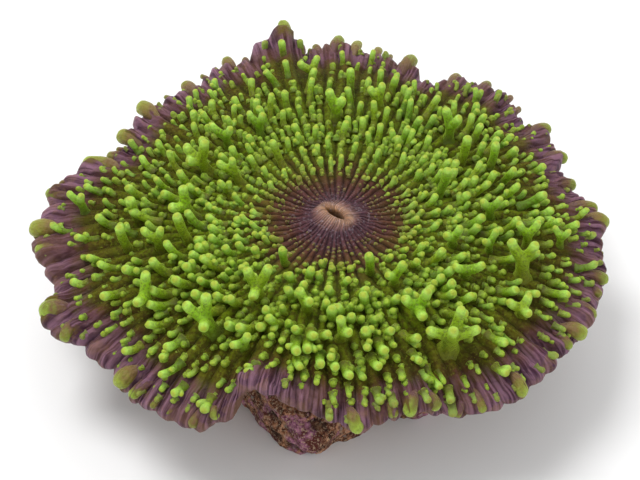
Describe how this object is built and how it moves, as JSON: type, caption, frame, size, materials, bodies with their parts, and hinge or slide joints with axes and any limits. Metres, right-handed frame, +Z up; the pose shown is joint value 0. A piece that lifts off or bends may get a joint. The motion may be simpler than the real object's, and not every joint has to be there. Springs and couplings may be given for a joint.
{
  "type": "mushroom coral",
  "caption": "Wide ruffled coral disc with a slit mouth, beaded and forked tentacles and a ribbed purple margin, on a short column and a loose piece of reef rock.",
  "frame": {"origin": "middle of the rock's flat base, straight below the mouth", "axes": "+Z up from the rest face through the mouth; -Y is the front, where the margin lifts over the rock; +X is the longest way across the disc, to the right seen from the front"},
  "size_m": [0.1016, 0.0949, 0.0339],
  "materials": {
    "flesh": "wet satin flesh, green tentacles on a brown-purple disc",
    "reef_rock": "rough, encrusted"
  },
  "bodies": {
    "root": {"polyp": "flesh", "rock": "reef_rock"}
  },
  "joints": []
}
